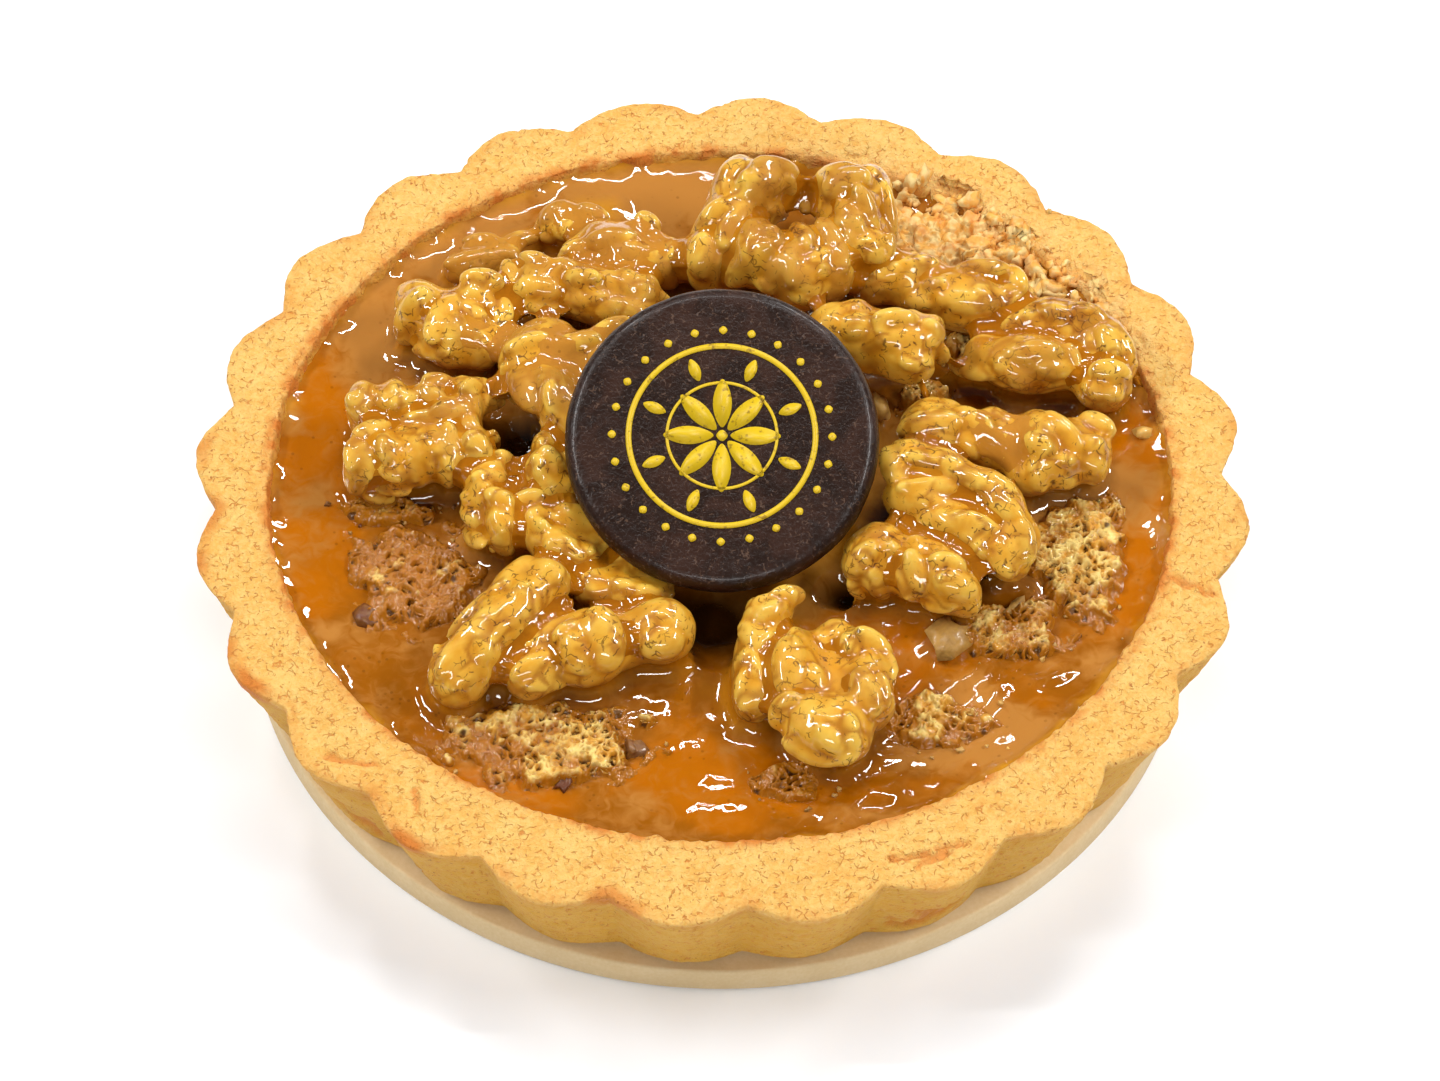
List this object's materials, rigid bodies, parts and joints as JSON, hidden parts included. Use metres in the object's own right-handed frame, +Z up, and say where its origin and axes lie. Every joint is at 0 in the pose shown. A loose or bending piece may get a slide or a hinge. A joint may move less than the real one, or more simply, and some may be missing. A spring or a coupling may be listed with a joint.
{
  "type": "walnut tart",
  "caption": "Round fluted tart of short pastry, filled with sponge crumb under caramel, heaped with candied walnuts and topped with a chocolate disc, on a round card",
  "frame": {"origin": "centre of the card's underside, on the surface that the tart stands on", "axes": "+Z up; -Y is the front, which the chocolate disc leans towards; +X to the right seen from the front"},
  "size_m": [0.1397, 0.1397, 0.0444],
  "materials": {
    "card": "matte beige board, faintly mottled",
    "crust": "stands in for baked short pastry: matte, crumbly, golden with browner peaks",
    "caramel": "stands in for soft caramel over sponge crumb: wet gloss, milky brown to amber",
    "chocolate": "stands in for dark chocolate: satin, with pale bloom specks",
    "walnut": "stands in for candied walnut: mustard gold with brown folds, sugar-glazed"
  },
  "bodies": {
    "root": {"card_disc": "card", "chocolate_disc": "chocolate", "crust": "crust", "filling": "caramel", "walnut_back_front_lobe": "walnut", "walnut_back_left_bar": "walnut", "walnut_back_left_knob": "walnut", "walnut_back_left_lobe": "walnut", "walnut_back_right_lobe": "walnut", "walnut_back_right_long": "walnut", "walnut_disc_left_half": "walnut", "walnut_disc_left_knob": "walnut", "walnut_disc_right_lobe": "walnut", "walnut_front_half": "walnut", "walnut_front_inner_lobe": "walnut", "walnut_front_left_bumps": "walnut", "walnut_front_left_long": "walnut", "walnut_front_middle_lobe": "walnut", "walnut_left_back_cluster": "walnut", "walnut_left_back_fold": "walnut", "walnut_left_back_ridge": "walnut", "walnut_left_half": "walnut", "walnut_left_inner_folds": "walnut", "walnut_left_inner_lobe": "walnut", "walnut_right_back_broad": "walnut", "walnut_right_fan": "walnut", "walnut_right_hook": "walnut", "walnut_right_pair": "walnut", "walnut_under_disc_lobe": "walnut"}
  },
  "joints": []
}
